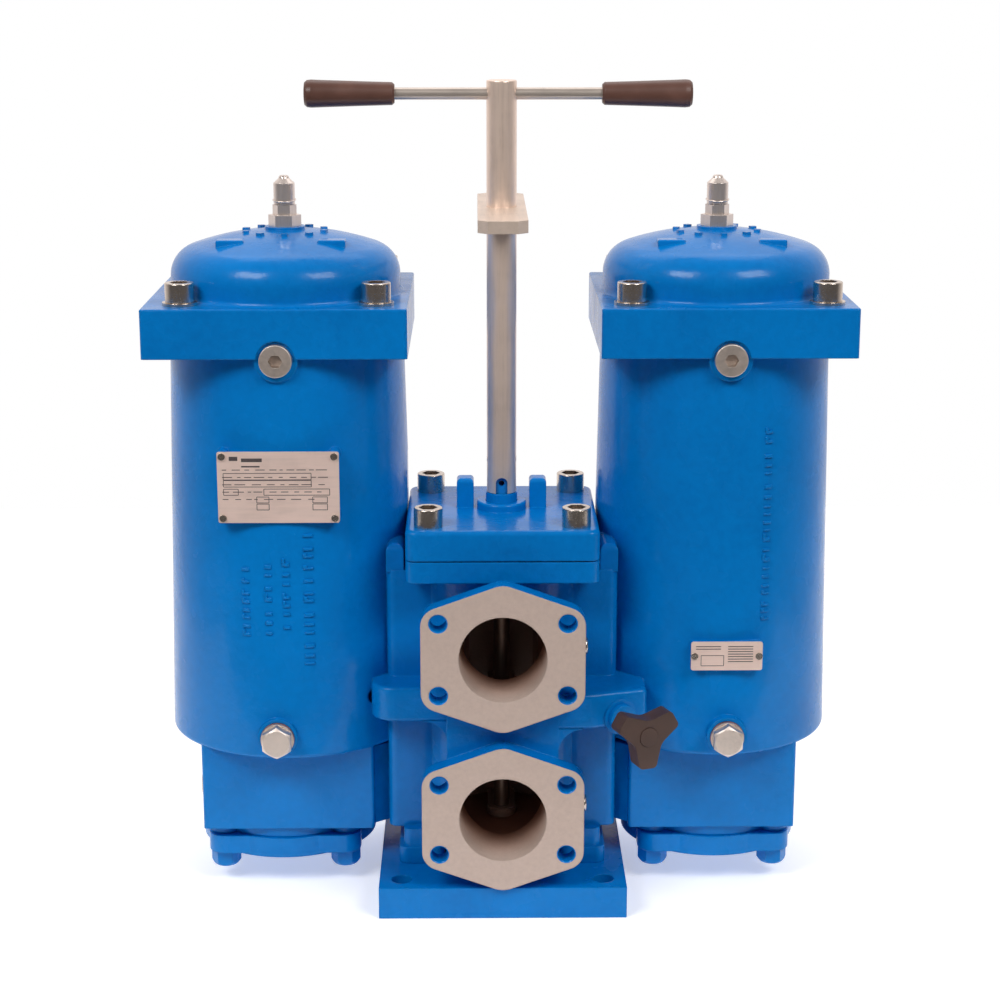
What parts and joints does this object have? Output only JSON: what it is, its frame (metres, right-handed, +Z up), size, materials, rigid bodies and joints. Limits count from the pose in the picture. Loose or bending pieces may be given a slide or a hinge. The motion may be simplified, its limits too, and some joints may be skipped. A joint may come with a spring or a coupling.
{
  "type": "basket strainer",
  "caption": "Twin-vessel basket strainer with changeover valve, T-handle with interlock bar, flanged front ports and a square base plate.",
  "frame": {"origin": "centre of the base plate's underside, on the changeover spindle axis", "axes": "+Z up along the spindle, -Y out of the ports, +X towards the vessel with the equalising knob"},
  "size_m": [0.5828, 0.2843, 0.6934],
  "materials": {
    "blue_paint": "gloss paint over rough cast iron",
    "screw_steel": "zinc plated",
    "vent_steel": "bright turned steel",
    "copper": "dull copper",
    "plate_metal": "satin plate",
    "bright_steel": "drawn steel",
    "brown_plastic": "dark brown moulding",
    "rotor_iron": "machined",
    "seal_rubber": "matt",
    "basket_steel": "perforated sheet",
    "blue_gland": "gloss paint"
  },
  "bodies": {
    "strainer_body": {"base_plate": "blue_paint", "base_screws": "screw_steel", "basket_bail_left": "basket_steel", "basket_bail_right": "basket_steel", "basket_foot_left": "basket_steel", "basket_foot_right": "basket_steel", "basket_ring_left": "basket_steel", "basket_ring_right": "basket_steel", "basket_shell_left": "basket_steel", "basket_shell_right": "basket_steel", "bottom_bolts_left": "blue_paint", "bottom_bolts_right": "blue_paint", "bottom_cover_left": "blue_paint", "bottom_cover_right": "blue_paint", "bottom_seal_left": "seal_rubber", "bottom_seal_right": "seal_rubber", "cover_seal_left": "seal_rubber", "cover_seal_right": "seal_rubber", "drain_plug_left": "screw_steel", "drain_plug_right": "screw_steel", "drain_washer_left": "copper", "drain_washer_right": "copper", "equalising_gland": "blue_gland", "gauge_plugs": "screw_steel", "housing": "blue_paint", "indicator_plug_left": "screw_steel", "indicator_plug_right": "screw_steel", "instruction_plate": "plate_metal", "instruction_plate_pins": "screw_steel", "nameplate": "plate_metal", "nameplate_pins": "screw_steel", "side_plug": "screw_steel", "spindle_gland": "blue_paint", "spindle_seal": "seal_rubber", "valve_cover": "blue_paint", "valve_cover_gasket": "seal_rubber", "valve_cover_screws": "screw_steel"},
    "changeover": {"spindle": "bright_steel", "rotor_upper": "rotor_iron", "rotor_lower": "rotor_iron", "handle_tube": "bright_steel", "handle_pin": "bright_steel", "handle_bar": "bright_steel", "handle_grips": "brown_plastic", "interlock_bar": "bright_steel"},
    "equaliser_stem": {"equalising_stem": "bright_steel"},
    "equaliser_knob": {"equalising_knob": "brown_plastic", "knob_cap": "brown_plastic"},
    "lid_left": {"cover_left": "blue_paint", "cover_screws_left": "screw_steel", "cover_washers_left": "screw_steel", "vent_coupling_left": "vent_steel"},
    "cap_left": {"vent_cap_left": "vent_steel"},
    "lid_right": {"cover_right": "blue_paint", "cover_screws_right": "screw_steel", "cover_washers_right": "screw_steel", "vent_coupling_right": "vent_steel"},
    "cap_right": {"vent_cap_right": "vent_steel"}
  },
  "joints": [
    {"name": "changeover_turn", "type": "hinge", "parent": "strainer_body", "child": "changeover", "pos_m": [0, 0, 0.5], "axis": [0, 0, 1], "range_deg": [-75, 75]},
    {"name": "equaliser_travel", "type": "slide", "parent": "strainer_body", "child": "equaliser_stem", "axis": [0.3746, -0.9272, 0], "range_m": [0, 0.00225]},
    {"name": "equaliser_turn", "type": "hinge", "parent": "equaliser_stem", "child": "equaliser_knob", "pos_m": [0.098, -0.08, 0.172], "axis": [0.3746, -0.9272, 0], "range_deg": [0, 540]},
    {"name": "lid_lift_left", "type": "slide", "parent": "strainer_body", "child": "lid_left", "axis": [0, 0, 1], "range_m": [0, 0.02]},
    {"name": "vent_turn_left", "type": "hinge", "parent": "lid_left", "child": "cap_left", "pos_m": [-0.1827, 0.0346, 0.6], "axis": [0, 0, 1], "range_deg": [0, 360]},
    {"name": "lid_lift_right", "type": "slide", "parent": "strainer_body", "child": "lid_right", "axis": [0, 0, 1], "range_m": [0, 0.02]},
    {"name": "vent_turn_right", "type": "hinge", "parent": "lid_right", "child": "cap_right", "pos_m": [0.1827, 0.0346, 0.6], "axis": [0, 0, 1], "range_deg": [0, 360]}
  ],
  "couplings": [
    {"joint": "equaliser_turn", "follows": "equaliser_travel", "rad_per_m": 4188.8}
  ]
}
